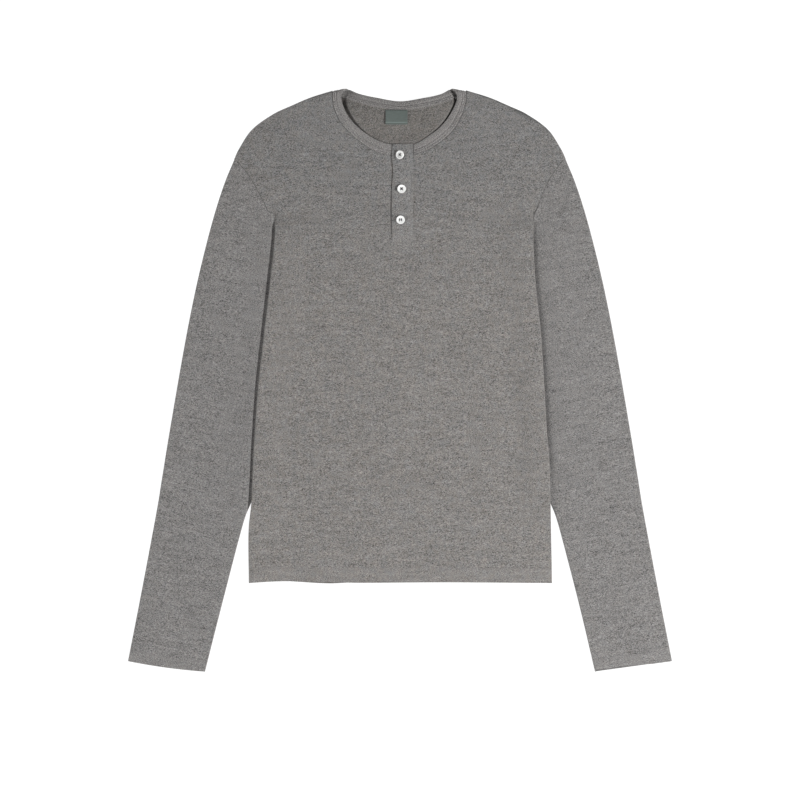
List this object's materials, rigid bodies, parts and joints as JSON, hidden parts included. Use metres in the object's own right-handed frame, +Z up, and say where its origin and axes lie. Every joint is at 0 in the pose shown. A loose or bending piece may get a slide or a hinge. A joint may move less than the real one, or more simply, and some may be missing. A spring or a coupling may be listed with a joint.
{
  "type": "henley shirt",
  "caption": "Long-sleeved henley shirt laid flat on its back, with a plain neckband, a short buttoned placket and stitched hems at the cuffs and lower edge.",
  "frame": {"origin": "centre of the bounding box's lower face, on the surface that the shirt lies on", "axes": "+X towards the wearer's left, +Y towards the neck, +Z up out of the surface"},
  "size_m": [0.7394, 0.7914, 0.0122],
  "materials": {
    "jersey": "heather grey cotton jersey, matt",
    "neckband_jersey": "the same jersey folded double, matt",
    "woven_label": "dark teal woven tape",
    "button": "white, soft gloss"
  },
  "bodies": {
    "root": {"back": "jersey", "front": "jersey", "sleeve_right": "jersey", "sleeve_left": "jersey", "neckband": "neckband_jersey", "placket_top": "neckband_jersey", "placket_under": "neckband_jersey", "neck_label": "woven_label", "button_1": "button", "button_2": "button", "button_3": "button"}
  },
  "joints": []
}
